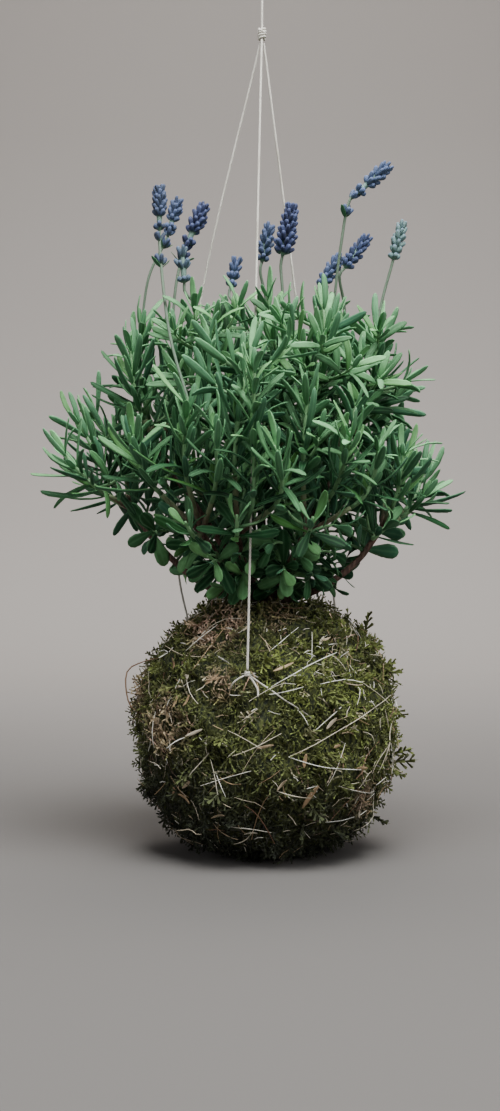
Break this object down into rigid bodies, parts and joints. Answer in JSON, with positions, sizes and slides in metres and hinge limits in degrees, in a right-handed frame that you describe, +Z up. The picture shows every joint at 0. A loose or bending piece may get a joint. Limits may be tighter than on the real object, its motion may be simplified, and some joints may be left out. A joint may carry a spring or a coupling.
{
  "type": "kokedama moss ball plant",
  "caption": "Lavender plant growing from a moss-wrapped ball of soil bound with thread, with three strings gathered above it for hanging; rests on a small flat spot.",
  "frame": {"origin": "centre of the small flat spot under the moss ball, on the surface it rests on", "axes": "+Z up through the ball and the plant, +Y away from the front, +X to the right seen from the front"},
  "size_m": [0.2104, 0.1637, 0.4417],
  "materials": {
    "soil": "crumbly dark moist soil",
    "moss": "shaggy olive and yellow-green moss with straws",
    "thread": "thin twisted off-white thread, weathered",
    "string": "thin twisted off-white cotton string",
    "wood": "rough red-brown bark",
    "leaf": "matt grey-green lavender leaf, downy",
    "flower": "matt blue-violet calyces"
  },
  "bodies": {
    "root": {"soil_ball": "soil", "moss_wrap": "moss", "binding_thread": "thread", "string_front": "string", "string_left": "string", "string_right": "string", "gather_knot": "string", "top_strand": "string", "hang_loop": "string", "woody_crown": "wood", "shoot_front_tall": "leaf", "shoot_front_right_tall": "leaf", "shoot_right_tall": "leaf", "shoot_front_leaning": "leaf", "shoot_right_upper": "leaf", "shoot_right_back": "leaf", "shoot_right_out": "leaf", "shoot_right_front": "leaf", "shoot_left_front_mid": "leaf", "shoot_left_tall": "leaf", "shoot_left_back_tall": "leaf", "shoot_left_inner_tall": "leaf", "shoot_left_out_high": "leaf", "shoot_left_out_back": "leaf", "shoot_left_out_low": "leaf", "shoot_left_low_back": "leaf", "shoot_left_front_low": "leaf", "shoot_centre_left_front": "leaf", "shoot_centre_front_low": "leaf", "shoot_top_left": "leaf", "shoot_top_left_back": "leaf", "shoot_top_centre": "leaf", "shoot_top_front": "leaf", "shoot_top_right": "leaf", "shoot_top_right_back": "leaf", "shoot_right_inner_tall": "leaf", "shoot_low_front": "leaf", "shoot_low_left": "leaf", "shoot_low_right": "leaf", "shoot_low_far_right": "leaf", "shoot_low_back": "leaf", "shoot_centre_right_front": "leaf", "shoot_back_left": "leaf", "shoot_back_mid": "leaf", "shoot_back_high": "leaf", "shoot_back_left_high": "leaf", "shoot_back_right": "leaf", "shoot_back_right_out": "leaf", "shoot_back_right_high": "leaf", "spike_left_dark": "flower", "spike_left_back": "flower", "spike_left_tilted": "flower", "spike_left_low": "flower", "spike_small_back": "flower", "spike_centre_left": "flower", "spike_centre_big": "flower", "spike_right_high": "flower", "spike_right_tilted": "flower", "spike_right_back": "flower", "spike_right_pale": "flower"}
  },
  "joints": []
}
